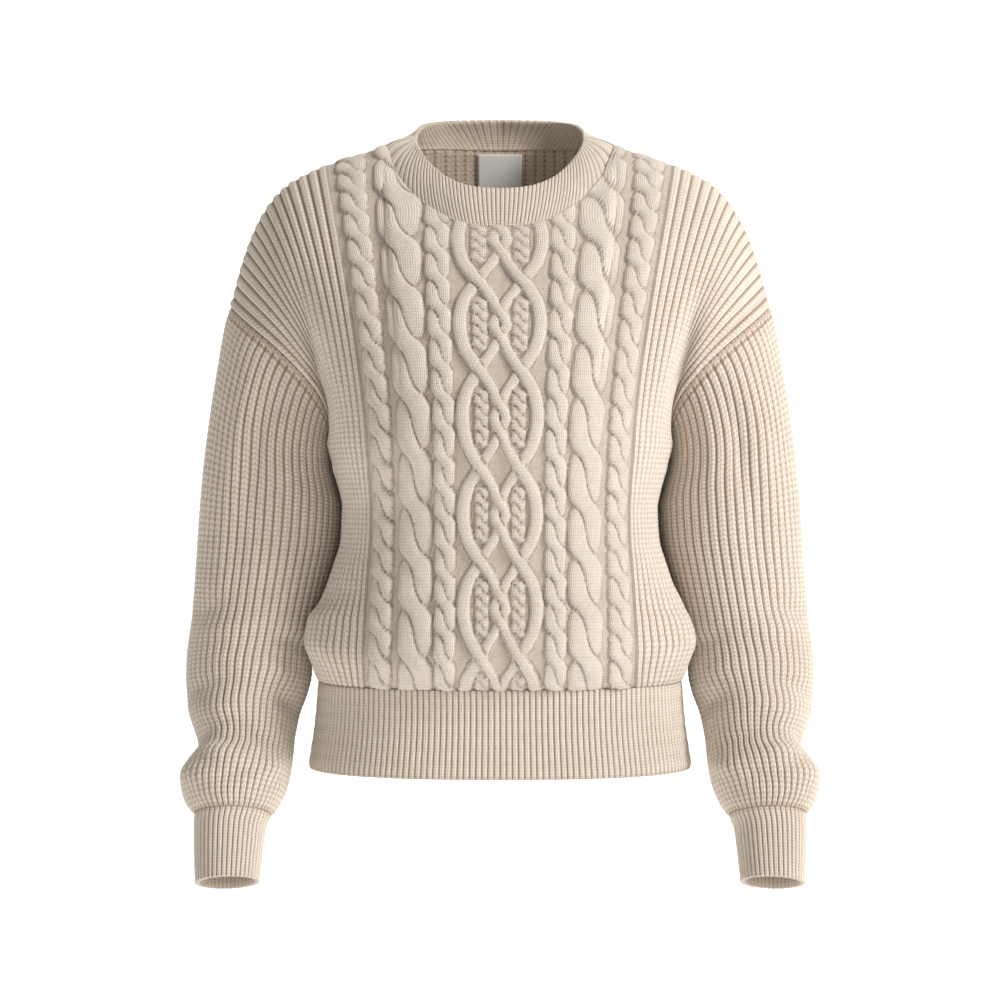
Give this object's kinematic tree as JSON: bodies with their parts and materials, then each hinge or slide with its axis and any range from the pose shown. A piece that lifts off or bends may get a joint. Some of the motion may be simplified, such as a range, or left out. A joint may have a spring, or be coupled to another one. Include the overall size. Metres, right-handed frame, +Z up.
{
  "type": "cable knit sweater",
  "caption": "Hip length crew neck sweater with drop shoulders, a cabled front, ribbed long sleeves and ribbed neckband, cuffs and hem, filled out as if worn, empty inside",
  "frame": {"origin": "the middle of the neck opening, at the height of the highest shoulder points, where the wearer's neck and shoulders hold the garment up", "axes": "+Z up, the front faces -Y, +X to the viewer's right when the front is seen"},
  "size_m": [0.5476, 0.2707, 0.6785],
  "materials": {
    "cable_knit": "matt cream wool knit",
    "rib_knit": "matt cream wool knit",
    "sleeve_knit": "matt cream wool knit",
    "cuff_rib": "matt cream wool knit",
    "hem_rib": "matt cream wool knit",
    "neck_rib": "matt cream wool knit",
    "label_tape": "pale grey woven tape"
  },
  "bodies": {
    "root": {"front": "cable_knit", "back": "rib_knit", "sleeve_left": "sleeve_knit", "sleeve_right": "sleeve_knit", "cuff_left": "cuff_rib", "cuff_right": "cuff_rib", "hem_band": "hem_rib", "neckband": "neck_rib", "label": "label_tape"}
  },
  "joints": []
}
